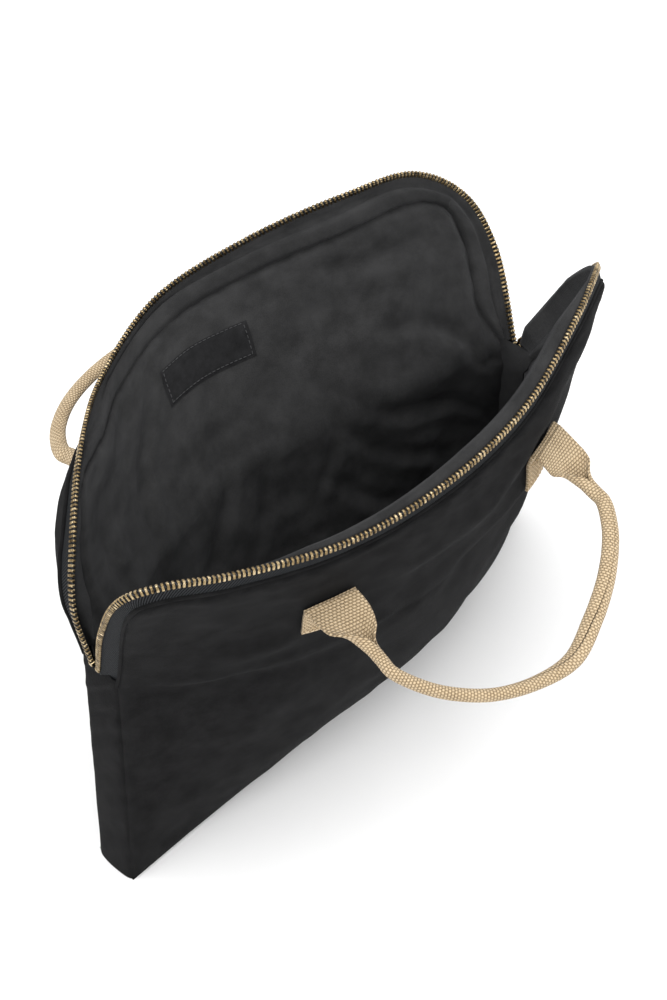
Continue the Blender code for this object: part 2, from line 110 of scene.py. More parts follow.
# -------------------- details of the look
GRIP_WRAP = math.radians(355)  # how far the webbing is curled round in the grip
CURL = {"front": 1.0, "back": -1.0}  # the side to which it curls, up or down
GRIP_TWIST = {"front": math.radians(70), "back": math.radians(15)}  # its twist at the left
STRAP_REACH = 0.035  # reach from which a grip's arch differs from the model's
STRAP_FLAT = 0.013  # length of webbing that stays flat after the fold
ROLL_RUN = 0.022  # and the length over which it then rolls up
FLATTENING = {"front": 0.05, "back": 0.16}  # how much flatter an arch is than the model's
SHORTFALL = {"front": 0.20, "back": 0.0}  # how much flatter again towards its right end
LEAN = {"front": -0.002, "back": -0.018}  # sideways lean of a grip's middle
SAG = {"front": 0.0, "back": 0.007}  # and how far it hangs below its arch
FOLD_SLANT = (0.21, -0.09)  # how much each fold climbs across the strap, left and right
LABEL_SLANT = 0.022  # how much lower the label's right end is sewn, as a share of v
PUFF = 0.0022  # how far padded cloth stands out between its seams
PUFF_RUN = 0.0045  # and how far from a seam it takes to do so
SEAM_DEPTH = 0.0024  # how far a seam is drawn in
SEAM_RUN = 0.0010  # and over what distance
BACK_BULGE = 0.0110  # how far the back's upper left corner swells beside the zip
FACING = 0.017  # width of the facing band inside the rim
# Height in mm to which the front facing puffs up past the zip, as (tooth, height).
FACING_LIP = [
    (0, 0), (58, 0), (80, 5), (120, 8), (160, 8), (178, 3), (190, 3), (204, 8), (222, 8), (227, 3),
]
# The facing's first rows: distance into the tape and below it, each plain and per metre of lip.
FACING_RIM = [
    (0.0012, 0.0, 0.0008, 0.0), (0.0020, -0.6, 0.0013, 0.10), (0.0030, -1.1, 0.0019, 0.35),
    (0.0050, -1.0, 0.0026, 0.80),
]
HEM_RADIUS = 0.0013  # the turned edge of the canvas beside the zip
TAPE_TAIL = 0.0045  # how far the tape runs on past its last tooth
BEAD_RADIUS = 0.00115  # the cord in the tape's edge that the teeth are clamped over
GUSSET_RISE = 0.026  # how far a side gusset runs on past the zip's end, as a share of v
CREASE_SPACING = 0.017  # creases of a side gusset below the zip's end
CREASE_DEPTH = 0.0019
CLOTH_STEP = 0.0030  # spacing of the cloth's grid

# Soft folds of each panel's canvas: start and end in flat coordinates, width and height in metres.
CANVAS_FOLDS = {
    "front": [
        ((-0.02, 0.575), (0.42, 0.600), 0.006, 0.0022),
        ((0.10, 0.66), (0.34, 0.69), 0.009, 0.0012),
        ((0.36, 0.74), (0.78, 0.90), 0.012, 0.0020),
        ((0.45, 0.58), (0.92, 0.80), 0.014, 0.0030),
        ((0.55, 0.35), (0.96, 0.62), 0.018, 0.0036),
        ((0.25, 0.10), (0.70, 0.38), 0.020, 0.0024),
        ((0.62, 0.12), (0.98, 0.40), 0.016, 0.0026),
    ],
    "back": [
        ((0.02, 0.58), (0.50, 0.55), 0.008, 0.0020),
        ((0.40, 0.30), (0.80, 0.66), 0.018, 0.0022),
        ((0.15, 0.15), (0.55, 0.45), 0.020, 0.0018),
        ((0.60, 0.85), (0.95, 0.60), 0.012, 0.0014),
    ],
}
# And of each lining, whose cloth is looser.
LINING_FOLDS = {
    "front": [
        ((0.20, 0.15), (0.28, 0.85), 0.009, 0.0030),
        ((0.48, 0.10), (0.50, 0.88), 0.010, 0.0032),
        ((0.74, 0.15), (0.68, 0.85), 0.009, 0.0030),
    ],
    "back": [
        ((0.20, 0.50), (0.34, 0.92), 0.006, -0.0036),
        ((0.30, 0.30), (0.47, 0.78), 0.006, -0.0040),
        ((0.38, 0.30), (0.57, 0.72), 0.006, -0.0036),
        ((0.56, 0.36), (0.64, 0.66), 0.005, -0.0030),
        ((0.66, 0.61), (0.98, 0.37), 0.006, -0.0044),
        ((0.62, 0.57), (0.86, 0.28), 0.006, -0.0036),
        ((0.74, 0.72), (0.98, 0.56), 0.006, -0.0036),
        ((0.56, 0.47), (0.78, 0.22), 0.006, -0.0030),
        ((0.62, 0.92), (0.90, 0.80), 0.007, -0.0024),
        ((0.10, 0.30), (0.14, 0.85), 0.006, -0.0026),
    ],
}


# ==================== small helpers
def unit(vectors):
    """Vectors scaled to length 1 along their last axis."""
    return vectors / np.linalg.norm(vectors, axis=-1, keepdims=True)


def ease(t):
    """Smooth step from 0 to 1."""
    t = np.clip(t, 0.0, 1.0)
    return t * t * (3.0 - 2.0 * t)


def even_points(path, count):
    """The path again, as points at equal distances along it."""
    lengths = np.linalg.norm(np.diff(path, axis=0), axis=1)
    along = np.concatenate([[0.0], np.cumsum(lengths)])
    wanted = np.linspace(0.0, along[-1], count)
    return np.stack([np.interp(wanted, along, path[:, k]) for k in range(3)], axis=-1)


def smooth_route(points, count):
    """A centripetal Catmull-Rom curve through the points, as evenly spaced points."""
    p = np.array(points, float)
    p = np.vstack([2 * p[0] - p[1], p, 2 * p[-1] - p[-2]])
    pieces = []
    for a, b, c, d in zip(p, p[1:], p[2:], p[3:]):
        t1 = np.linalg.norm(b - a) ** 0.5
        t2 = t1 + np.linalg.norm(c - b) ** 0.5
        t3 = t2 + np.linalg.norm(d - c) ** 0.5
        t = np.linspace(t1, t2, 40, endpoint=False)[:, None]
        ab = (t1 - t) / t1 * a + t / t1 * b
        bc = (t2 - t) / (t2 - t1) * b + (t - t1) / (t2 - t1) * c
        cd = (t3 - t) / (t3 - t2) * c + (t - t2) / (t3 - t2) * d
        abc = (t2 - t) / t2 * ab + t / t2 * bc
        bcd = (t3 - t) / (t3 - t1) * bc + (t - t1) / (t3 - t1) * cd
        pieces.append((t2 - t) / (t2 - t1) * abc + (t - t1) / (t2 - t1) * bcd)
    pieces.append(p[-2:-1])
    return even_points(np.vstack(pieces), count)


def along_path(path, share):
    """Points at the given shares, 0 to 1, of a path of evenly spaced points."""
    index = np.clip(share, 0.0, 1.0) * (len(path) - 1)
    steps = np.arange(len(path))
    return np.stack([np.interp(index, steps, path[:, k]) for k in range(3)], axis=-1)


# ==================== shape of the open sleeve
def zip_frame(half):
    """The zip's line at each tooth, with the directions along it, into the panel and outward."""
    line = smooth_route(ZIP_ROUTE[half], TEETH + 1) * 0.001
    along = unit(np.gradient(line, axis=0))
    panel_middle = np.array([0.005, SIDE[half] * 0.055, 0.120])
    into = panel_middle - line
    into = unit(into - (into * along).sum(axis=1, keepdims=True) * along)
    outward = np.cross(along, into)
    outward *= np.sign(outward[:, 1:2] * SIDE[half])
    return line, along, into, outward


def canvas_edge(half):
    """The edge of the canvas at each tooth, one tape's width from the zip's line."""
    line, _, into, outward = ZIP[half]
    tooth = np.arange(TEETH + 1)
    from_end = np.minimum(tooth, TEETH - tooth)
    fold = np.radians(np.interp(tooth, *np.transpose(TAPE_FOLD[half])))
    width = TAPE_AT_END + (TAPE - TAPE_AT_END) * ease(from_end / CORNER_TOOTH)
    fold = fold[:, None]
    return line + width[:, None] * (np.cos(fold) * into + np.sin(fold) * outward)


ZIP = {half: zip_frame(half) for half in SIDE}
EDGE = {half: canvas_edge(half) for half in SIDE}


def bottom_edge(half, u):
    """The bottom seam at flat coordinate u."""
    swing = np.clip(2 * u - 1, 0.0, 1.0) ** 2
    x = (u - 0.5) * WIDTH - BASE_DRAW * swing
    y = SIDE[half] * DEPTH / 2 + BASE_SWING * swing
    return np.stack([x, y, 0 * u], axis=-1)


def side_edge(half, v, left):
    """The side seam up to the zip's end, and the canvas edge above it, to mid-corner."""
    edge = EDGE[half] if left else EDGE[half][::-1]
    foot = bottom_edge(half, np.array([0.0 if left else 1.0]))
    v = v[:, None]
    seam = foot + (edge[0] - foot) * np.clip(v / ZIP_END_V, 0.0, 1.0)
    zipped = along_path(edge[:CORNER_TOOTH + 1], (v[:, 0] - ZIP_END_V) / (1 - ZIP_END_V))
    return np.where(v < ZIP_END_V, seam, zipped)


def top_edge(half, u):
    """The canvas edge from one mid-corner to the other."""
    return along_path(EDGE[half][CORNER_TOOTH:TEETH - CORNER_TOOTH + 1], u)


def panel_points(half, u, v):
    """Outer face of a panel at flat coordinates u and v, as a patch between its four edges."""
    zero, one = np.array([0.0]), np.array([1.0])
    bottom, top = bottom_edge(half, u), top_edge(half, u)
    left, right = side_edge(half, v, True), side_edge(half, v, False)
    u, v = u[:, None], v[:, None]
    corners = (
        (1 - u) * (1 - v) * bottom_edge(half, zero) + u * (1 - v) * bottom_edge(half, one)
        + (1 - u) * v * top_edge(half, zero) + u * v * top_edge(half, one)
    )
    patch = (1 - v) * bottom + v * top + (1 - u) * left + u * right - corners
    belly = BELLY[half] * 4 * u * (1 - u) * 4 * v * (1 - v)
    return patch + np.array([0.0, SIDE[half], 0.0]) * belly


def panel_frame(half, u, v):
    """Directions across a panel, up it and out of it, at arrays of flat coordinates."""
    e, margin = 0.004, 0.035
    u = np.clip(u, margin, 1 - margin)
    v = np.clip(v, margin, 1 - margin)
    across = unit(panel_points(half, u + e, v) - panel_points(half, u - e, v))
    up = unit(panel_points(half, u, v + e) - panel_points(half, u, v - e))
    out = unit(np.cross(across, up))
    out *= np.sign(out[:, 1:2] * SIDE[half])
    return across, up, out


# ==================== relief of the cloth
def fold_relief(u, v, folds):
    """Height of soft folds, each a ridge along a line, fading towards the line's ends."""
    x, y = u * WIDTH, v * HEIGHT
    height = np.zeros_like(u)
    for (ax, ay), (bx, by), width, lift in folds:
        ax, ay, bx, by = ax * WIDTH, ay * HEIGHT, bx * WIDTH, by * HEIGHT
        length = math.hypot(bx - ax, by - ay)
        dx, dy = (bx - ax) / length, (by - ay) / length
        along = ((x - ax) * dx + (y - ay) * dy) / length
        off = (x - ax) * dy - (y - ay) * dx + 0.004 * np.sin(along * 7 + ax * 60)
        fade = np.sin(np.clip(along, 0.0, 1.0) * math.pi) ** 0.7
        profile = np.exp(-(off / width) ** 2) - 0.5 * np.exp(-((off - 1.6 * width) / width) ** 2)
        height += lift * fade * profile
    return height


def rumple(u, v, wavelength, amount, seed):
    """Gentle random unevenness of cloth: a few plane waves in random directions."""
    rng = np.random.default_rng(seed)
    height = np.zeros_like(u)
    waves = 14
    for _ in range(waves):
        turn, phase = rng.uniform(0, 2 * math.pi, 2)
        k = 2 * math.pi / (wavelength * rng.uniform(0.7, 1.5))
        height += np.sin(k * (u * WIDTH * math.cos(turn) + v * HEIGHT * math.sin(turn)) + phase)
    return amount * height / math.sqrt(waves)


def puff(distance):
    """Cloth drawn in at a seam and standing out with distance from it."""
    distance = np.maximum(distance, 0.0)
    return PUFF * (1 - np.exp(-distance / PUFF_RUN)) - SEAM_DEPTH * np.exp(-distance / SEAM_RUN)


def seam_distance(u, v):
    """Distance in the flat panel to the nearest of its four edges."""
    return np.minimum(np.minimum(u, 1 - u) * WIDTH, np.minimum(v, 1 - v) * HEIGHT)


def rim_distance(u, v):
    """Distance in the flat panel to the zip's edge, with rounded inner corners."""
    radius = 0.030
    dx = np.minimum(u, 1 - u) * WIDTH + 1.0 * (v < ZIP_END_V - 0.02)
    dy = (1 - v) * HEIGHT
    corner = radius - np.hypot(np.clip(radius - dx, 0, None), np.clip(radius - dy, 0, None))
    return np.where((dx < radius) & (dy < radius), corner, np.minimum(dx, dy))


def canvas_relief(half, u, v):
    """How far a panel's canvas stands off its plain shape."""
    edge = seam_distance(u, v)
    loose = ease(edge / 0.020)
    seed = 11 if half == "front" else 12
    waves = rumple(u, v, 0.070, 0.0011, seed) + rumple(u, v, 0.024, 0.00022, seed + 10)
    tight = rumple(u, v, 0.014, 0.00022, seed + 20) * np.exp(-(1 - v) * HEIGHT / 0.030)
    swell = np.exp(-((u - 0.12) / 0.11) ** 2 - ((v - 0.86) / 0.18) ** 2)
    swell *= BACK_BULGE * ease(edge / 0.018) * (half == "back")
    return puff(edge) + loose * (waves + fold_relief(u, v, CANVAS_FOLDS[half])) + tight + swell


def lining_relief(half, u, v):
    """How far a lining stands off the inner face of the wall, towards the inside."""
    rim = rim_distance(u, v)
    seed = 31 if half == "front" else 32
    loose = ease((rim - FACING) / 0.018) * ease(v * HEIGHT / 0.03)
    waves = rumple(u, v, 0.055, 0.0012, seed) + rumple(u, v, 0.020, 0.0004, seed + 10)
    folds = fold_relief(u, v, LINING_FOLDS[half])
    tucks = 0.0005 * np.sin(2 * math.pi * (u * WIDTH + 0.6 * v * HEIGHT) / 0.016)
    tucks *= np.exp(-np.abs(rim - FACING) / 0.008)
    seam = -0.0016 + 0.0036 * ease((rim - FACING) / 0.007)
    return seam + loose * (waves + folds) + tucks


# ==================== meshes
def flat_grid(u, v):
    """Flat coordinates of a rectangular grid, as two flattened arrays and the grid's shape."""
    grid_v, grid_u = np.meshgrid(v, u, indexing="ij")
    return grid_u.ravel(), grid_v.ravel(), (len(v), len(u))


def patch_object(name, patches, looks):
    """One mesh of several patches, each (grid of points, grid of flat metres, look's number)."""
    verts, faces, flat, slots, base = [], [], [], [], 0
    for points, metres, look in patches:
        rows, columns = points.shape[:2]
        verts.append(points.reshape(-1, 3))
        flat.append(np.broadcast_to(metres, (rows, columns, 2)).reshape(-1, 2))
        row, column = np.meshgrid(np.arange(rows - 1), np.arange(columns - 1), indexing="ij")
        first = (base + row * columns + column).ravel()
        faces.append(np.stack([first, first + 1, first + columns + 1, first + columns], axis=-1))
        slots.extend([look] * len(first))
        base += rows * columns
    return mesh_object(name, np.vstack(verts), np.vstack(faces), looks, np.vstack(flat), slots)


def mesh_object(name, verts, faces, looks, flat=None, slots=None):
    """A smooth-shaded mesh object with its looks and, for cloth, a map in flat metres."""
    mesh = bpy.data.meshes.new(name)
    mesh.from_pydata(verts.tolist(), [], faces.tolist())
    for look in looks:
        mesh.materials.append(look)
    if slots is not None:
        mesh.polygons.foreach_set("material_index", slots)
    if flat is not None:
        corner_verts = np.zeros(len(mesh.loops), int)
        mesh.loops.foreach_get("vertex_index", corner_verts)
        layer = mesh.uv_layers.new(name="flat_metres")
        layer.data.foreach_set("uv", flat[corner_verts].ravel())
    mesh.shade_smooth()
    mesh.update()
    obj = bpy.data.objects.new(name, mesh)
    bpy.context.scene.collection.objects.link(obj)
    return obj


def weld(obj):
    """Joins the touching edges of an object's patches."""
    bm = bmesh.new()
    bm.from_mesh(obj.data)
    bmesh.ops.remove_doubles(bm, verts=bm.verts, dist=0.00002)
    bmesh.ops.recalc_face_normals(bm, faces=bm.faces)
    bm.to_mesh(obj.data)
    bm.free()


def panel_patch(points, u, v, shape):
    """A patch of a panel's cloth from its points and flat coordinates."""
    flat = np.stack([u * WIDTH, v * HEIGHT], axis=-1)
    return points.reshape(*shape, 3), flat.reshape(*shape, 2), 0


def strip_between(front, back, across):
    """Grid of points from one edge to the other at the given shares."""
    return front[:, None] + (back - front)[:, None] * across[None, :, None]


def metres(first, second):
    """Grid of flat metres from its two coordinate lists, the second across the columns."""
    return np.stack(np.meshgrid(second, first), axis=-1)


def sweep(centre, side, up, section):
    """Tube of points: at each centre, the section's (side, up) pairs in that frame."""
    return centre[:, None] + side[:, None] * section[..., 0:1] + up[:, None] * section[..., 1:2]


def ring(radius, sides):
    """The angles and the points of a circle's corners, the first one repeated at the end."""
    turn = np.linspace(0, 2 * math.pi, sides + 1)
    return turn, np.stack([np.cos(turn), np.sin(turn)], axis=-1) * radius


def rounded_block(size, bevel):
    """Points and faces of a small block with bevelled edges, centred on the origin."""
    bm = bmesh.new()
    bmesh.ops.create_cube(bm, size=1.0)
    bmesh.ops.scale(bm, vec=size, verts=bm.verts)
    bmesh.ops.bevel(bm, geom=bm.edges[:], offset=bevel, segments=2, profile=0.6, affect="EDGES")
    bmesh.ops.triangulate(bm, faces=bm.faces)
    verts = np.array([v.co for v in bm.verts])
    faces = np.array([[v.index for v in f.verts] for f in bm.faces])
    bm.free()
    return verts, faces


def merged_blocks(parts):
    """One set of points and faces from several."""
    verts, faces, base = [], [], 0
    for part_verts, part_faces in parts:
        verts.append(part_verts)
        faces.append(part_faces + base)
        base += len(part_verts)
    return np.vstack(verts), np.vstack(faces)


def repeated(template, places, axes):
    """Copies of a template's points at places, each turned to its three axes."""
    verts, faces = template
    placed = places[:, None] + np.einsum("vk,nkc->nvc", verts, axes)
    shifted = faces[None] + (np.arange(len(places)) * len(verts))[:, None, None]
    return placed.reshape(-1, 3), shifted.reshape(-1, 3)


# ==================== looks
class Look:
    """A Principled material and short ways to wire its nodes."""

    def __init__(self, name, roughness, metallic=0.0):
        self.material = bpy.data.materials.new(name)
        self.material.use_nodes = True
        self.tree = self.material.node_tree
        self.shader = self.tree.nodes["Principled BSDF"]
        self.set("Roughness", roughness)
        self.set("Metallic", metallic)

    def node(self, kind, inputs=(), **settings):
        made = self.tree.nodes.new(kind)
        for key, value in settings.items():
            setattr(made, key, value)
        for key, value in dict(inputs).items():
            self.put(value, made.inputs[key])
        return made

    def put(self, value, socket):
        if isinstance(value, bpy.types.NodeSocket):
            self.tree.links.new(value, socket)
        else:
            socket.default_value = value

    def set(self, name, value):
        self.shader.inputs[name].default_value = value

    def math(self, operation, a, b=0.0):
        made = self.node("ShaderNodeMath", {0: a, 1: b}, operation=operation)
        return made.outputs[0]

    def flat(self):
        """The cloth's own flat coordinates, in metres."""
        found = self.node("ShaderNodeUVMap", uv_map="flat_metres").outputs[0]
        split = self.node("ShaderNodeSeparateXYZ", {0: found})
        return found, split.outputs[0], split.outputs[1]

    def place(self):
        """Coordinates on the object itself, in metres."""
        return self.node("ShaderNodeTexCoord").outputs["Object"]

    def noise(self, where, scale, detail=3.0, roughness=0.6):
        made = self.node(
            "ShaderNodeTexNoise",
            {"Vector": where, "Scale": scale, "Detail": detail, "Roughness": roughness},
        )
        return made.outputs["Fac"]

    def ramp(self, factor, stops):
        made = self.node("ShaderNodeValToRGB", {"Fac": factor})
        stop_list = made.color_ramp.elements
        while len(stop_list) < len(stops):
            stop_list.new(0.5)
        for stop, (place, colour) in zip(stop_list, stops):
            stop.position = place
            stop.color = (*colour, 1.0)
        return made.outputs["Color"]

    def bump(self, height, distance, strength=1.0, under=None):
        settings = {"Height": height, "Distance": distance, "Strength": strength}
        made = self.node("ShaderNodeBump", settings)
        if under is not None:
            self.tree.links.new(under, made.inputs["Normal"])
        return made.outputs["Normal"]

    def finish(self, colour, normal, roughness=None):
        self.put(colour, self.shader.inputs["Base Color"])
        self.put(normal, self.shader.inputs["Normal"])
        if roughness is not None:
            self.put(roughness, self.shader.inputs["Roughness"])
        return self.material


def weave_height(look, x, y, pitch_x, pitch_y):
    """Plain weave: threads going over and under by turns, from 0 to 1."""
    wave_x = look.math("SINE", look.math("MULTIPLY", x, 2 * math.pi / pitch_x))
    wave_y = look.math("SINE", look.math("MULTIPLY", y, 2 * math.pi / pitch_y))
    crossing = look.math("MULTIPLY", wave_x, wave_y)
    return look.math("MULTIPLY_ADD", crossing, 0.5)


def woven_black(name, dark, light, thread, sheen, mottle_size):
    """Dyed cotton cloth: fine weave, faint lint and slight variation of the dye."""
    look = Look(name, 0.92)
    where, x, y = look.flat()
    weave = weave_height(look, x, y, thread, thread * 1.15)
    slub = look.noise(where, 420.0, 2.0)
    mottle = look.noise(where, mottle_size, 4.0, 0.65)
    lint = look.noise(where, 1500.0, 2.0, 0.7)
    shade = look.math("ADD", look.math("MULTIPLY", mottle, 0.6), look.math("MULTIPLY", lint, 0.4))
    colour = look.ramp(shade, [(0.40, dark), (0.60, light)])
    coarse = look.bump(slub, 0.00025, 0.5)
    normal = look.bump(weave, 0.00022, 0.8, coarse)
    look.set("Sheen Weight", sheen)
    look.set("Sheen Roughness", 0.45)
    look.set("Sheen Tint", (0.75, 0.76, 0.80, 1.0))
    look.set("Specular IOR Level", 0.12)
    return look.finish(colour, normal)


def zip_tape_look():
    """Dark blue-grey twill with its diagonal ribs."""
    look = Look("zip_tape", 0.85)
    where, x, y = look.flat()
    diagonal = look.math("ADD", x, y)
    rib = look.math("SINE", look.math("MULTIPLY", diagonal, 2 * math.pi / 0.0020))
    cross = look.math("SINE", look.math("MULTIPLY", x, 2 * math.pi / 0.0005))
    height = look.math("ADD", rib, look.math("MULTIPLY", cross, 0.3))
    tone = look.math("MULTIPLY_ADD", rib, 0.26)
    fuzz = look.noise(where, 900.0, 3.0)
    tone = look.math("ADD", tone, look.math("MULTIPLY", look.math("SUBTRACT", fuzz, 0.5), 0.5))
    colour = look.ramp(tone, [(0.26, (0.0036, 0.0038, 0.0042)), (0.76, (0.0410, 0.0435, 0.0470))])
    look.set("Specular IOR Level", 0.12)
    return look.finish(colour, look.bump(height, 0.00030, 1.0))


def webbing_look():
    """Natural cotton webbing in a coarse basket weave."""
    look = Look("webbing", 0.88)
    where, x, y = look.flat()
    row_pitch, cell_pitch = 0.0017, 0.0023
    ratio = look.math("DIVIDE", y, row_pitch)
    row = look.math("FLOOR", ratio)
    offset = look.math("MULTIPLY", look.math("MODULO", row, 2.0), 0.5)
    cell = look.math("ADD", look.math("DIVIDE", x, cell_pitch), offset)
    across = look.math("ABSOLUTE", look.math("SINE", look.math("MULTIPLY", cell, math.pi)))
    along = look.math("ABSOLUTE", look.math("SINE", look.math("MULTIPLY", ratio, math.pi)))
    pillow = look.math("POWER", look.math("MULTIPLY", across, along), 0.45)
    strand = look.math("SINE", look.math("MULTIPLY", x, 2 * math.pi / 0.0006))
    fibre = look.noise(where, 1400.0, 3.0, 0.7)
    patches = look.noise(where, 90.0, 3.0)
    tone = look.math("MULTIPLY", pillow, 0.72)
    tone = look.math("ADD", tone, look.math("MULTIPLY", fibre, 0.30))
    tone = look.math("ADD", tone, look.math("MULTIPLY", look.math("SUBTRACT", patches, 0.5), 0.35))
    colour = look.ramp(tone, [
        (0.12, (0.130, 0.070, 0.028)),
        (0.48, (0.390, 0.280, 0.156)),
        (0.95, (0.680, 0.535, 0.352)),
    ])
    height = look.math("ADD", pillow, look.math("MULTIPLY", strand, 0.05))
    height = look.math("ADD", height, look.math("MULTIPLY", fibre, 0.25))
    look.set("Sheen Weight", 0.2)
    look.set("Sheen Tint", (1.0, 0.93, 0.80, 1.0))
    look.set("Specular IOR Level", 0.3)
    return look.finish(colour, look.bump(height, 0.0009, 1.0))


def brass_look():
    """Antique brass: warm metal, darker where it is tarnished."""
    look = Look("antique_brass", 0.30, 1.0)
    where = look.place()
    tarnish = look.noise(where, 260.0, 4.0, 0.7)
    grain = look.noise(where, 2600.0, 2.0)
    colour = look.ramp(tarnish, [
        (0.34, (0.075, 0.050, 0.024)),
        (0.52, (0.300, 0.218, 0.110)),
        (0.68, (0.680, 0.550, 0.350)),
    ])
    rough = look.node("ShaderNodeMapRange", {"Value": tarnish, "To Min": 0.46, "To Max": 0.16})
    return look.finish(colour, look.bump(grain, 0.00006, 0.4), rough.outputs[0])


def thread_look(name, colour):
    """Sewing thread with its twist."""
    look = Look(name, 0.7)
    where = look.place()
    twist = look.noise(where, 1800.0, 2.0)
    darker = tuple(0.6 * c for c in colour)
    return look.finish(look.ramp(twist, [(0.3, darker), (0.7, colour)]), look.bump(twist, 0.0001))


def label_look():
    """Satin-woven black label."""
    look = Look("label", 0.75)
    where, _, y = look.flat()
    rib = look.math("SINE", look.math("MULTIPLY", y, 2 * math.pi / 0.0007))
    worn = look.noise(where, 160.0, 3.0)
    colour = look.ramp(worn, [(0.3, (0.0055, 0.0055, 0.006)), (0.75, (0.013, 0.013, 0.014))])
    look.set("Sheen Weight", 0.03)
    look.set("Specular IOR Level", 0.15)
    return look.finish(colour, look.bump(rib, 0.00012, 0.7))


CANVAS = woven_black("canvas", (0.0030, 0.0030, 0.0032), (0.0094, 0.0093, 0.0097), 0.0009, 0.010, 60.0)
LINING = woven_black("lining", (0.0180, 0.0180, 0.0183), (0.0330, 0.0329, 0.0334), 0.0007, 0.06, 45.0)
TAPE_GREY = zip_tape_look()
TAN = webbing_look()
BRASS = brass_look()
TAN_THREAD = thread_look("tan_thread", (0.62, 0.48, 0.30))
BLACK_THREAD = thread_look("black_thread", (0.030, 0.030, 0.032))
LABEL = label_look()


# ==================== padded walls
def bend(piece):
    """Bakes the piece's placement into its mesh points."""
    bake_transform(piece)


def cloth_steps(length):
    """Shares from 0 to 1 of a length, even in the middle and finer beside the seams."""
    near = np.array([0.0, 0.0005, 0.0010, 0.0016, 0.0024, 0.0036, 0.0054]) / length
    middle = np.linspace(0.0078 / length, 1 - 0.0078 / length, round(length / CLOTH_STEP))
    return np.concatenate([near, middle, 1 - near[::-1]])


def hem_tube(half):
    """The turned edge of the canvas beside the zip, as a bead with a round section."""
    tooth = np.linspace(0.0, TEETH, 460)
    edge = along_path(EDGE[half], tooth / TEETH)
    along = unit(np.gradient(edge, axis=0))
    u, v = rim_flat(tooth)
    out = panel_frame(half, u, v)[2]
    out = unit(out - (out * along).sum(axis=1, keepdims=True) * along)
    side = np.cross(out, along)
    turn, section = ring(HEM_RADIUS, 12)
    points = sweep(edge - out * HEM_RADIUS * 0.9, side, out, section)
    return points, metres(tooth * TOOTH_PITCH, turn * HEM_RADIUS)


def rim_flat(tooth):
    """Flat u and v of the canvas edge beside a tooth."""
    side_share = np.clip(np.minimum(tooth, TEETH - tooth) / CORNER_TOOTH, 0.0, 1.0)
    v = ZIP_END_V + (1 - ZIP_END_V) * side_share
    u = np.clip((tooth - CORNER_TOOTH) / (TEETH - 2 * CORNER_TOOTH), 0.0, 1.0)
    return u, v


def make_canvas(half):
    """The outer cloth of one side, with its turned edge along the zip."""
    u, v, shape = flat_grid(cloth_steps(WIDTH), cloth_steps(HEIGHT))
    points = panel_points(half, u, v)
    points += panel_frame(half, u, v)[2] * canvas_relief(half, u, v)[:, None]
    patches = [panel_patch(points, u, v, shape), (*hem_tube(half), 0)]
    piece = patch_object(f"{half}_canvas", patches, [CANVAS])
    weld(piece)
    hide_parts(f"{half}_canvas_lower", f"{half}_canvas_flap", f"{half}_fold")
    bend(piece)


def lining_points(half, u, v):
    """Inner face of a wall with the lining's own relief."""
    inward = -panel_frame(half, u, v)[2]
    return panel_points(half, u, v) + inward * (WALL + lining_relief(half, u, v))[:, None]


def make_lining(half):
    """The padded lining of one side, up to the seam of its facing."""
    u, v, shape = flat_grid(cloth_steps(WIDTH), cloth_steps(HEIGHT))
    u = 0.008 + 0.984 * u
    v = 0.010 + 0.975 * v
    points = lining_points(half, u, v)
    piece = patch_object(f"{half}_lining", [panel_patch(points, u, v, shape)], [LINING])
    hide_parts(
        f"{half}_lining_lower", f"{half}_lining_flap",
        f"{half}_foam_lower", f"{half}_foam_flap",
    )
    bend(piece)


def make_facing(half):
    """The band of lining cloth beside the zip, sewn to the tape and to the padded lining."""
    tooth = np.linspace(1.5, TEETH - 1.5, 420)
    u, v = rim_flat(tooth)
    line, along, _, outward = (along_path(part, tooth / TEETH) for part in ZIP[half])
    edge = along_path(EDGE[half], tooth / TEETH)
    to_canvas = unit(edge - line)
    tape_out = unit(np.cross(along, to_canvas))
    tape_out *= np.sign((tape_out * outward).sum(axis=1, keepdims=True))

    corner = np.minimum(np.abs(tooth - CORNER_TOOTH), np.abs(tooth - (TEETH - CORNER_TOOTH)))
    reach = 1 + 0.62 * np.cos(np.clip(corner / 12, 0, 1) * math.pi / 2) ** 2
    reach *= 0.25 + 0.75 * ease(np.minimum(tooth, TEETH - tooth) / 12)
    turn_left = ease((tooth - CORNER_TOOTH + 10) / 20) * math.pi / 2
    turn_right = ease((TEETH - CORNER_TOOTH + 10 - tooth) / 20) * math.pi / 2
    across = np.cos(turn_left) - np.cos(turn_right)
    down = np.minimum(np.sin(turn_left), np.sin(turn_right))

    lip = np.interp(tooth, *np.transpose(FACING_LIP)) * 0.001 * (half == "front")
    lip = lip[:, None]
    rows = []
    for into, into_lip, below, below_lip in FACING_RIM:
        rows.append(line + to_canvas * (into + into_lip * lip) - tape_out * (below + below_lip * lip))
    for share in (0.02, 0.10, 0.22, 0.36, 0.50, 0.64, 0.78, 0.90, 0.97, 1.0):
        inset = FACING * share
        row_u = np.clip(u + across * inset * reach / WIDTH, 0.004, 0.996)
        row_v = np.clip(v - down * inset * reach / HEIGHT, 0.0, 0.996)
        inward = -panel_frame(half, row_u, row_v)[2]
        lift = 0.0009 + 0.0016 * math.sin(math.pi * share) ** 0.7 - 0.0030 * max(0, share - 0.9) / 0.1
        stretch = rumple(tooth * 0.0068, row_v, 0.045, 0.00035, 51)
        depth = WALL * min(1.0, 0.45 + 3.0 * share) + lift
        rows.append(panel_points(half, row_u, row_v) + inward * (depth + stretch)[:, None])
    points = np.stack(rows)
    across_metres = np.concatenate([[-0.018, -0.013, -0.009, -0.005], FACING * np.linspace(0, 1, 10)])
    patches = [(points, metres(across_metres, tooth * TOOTH_PITCH), 0)]
    piece = patch_object(f"{half}_facing_band", patches, [LINING])
    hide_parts(f"{half}_facing")
    bend(piece)


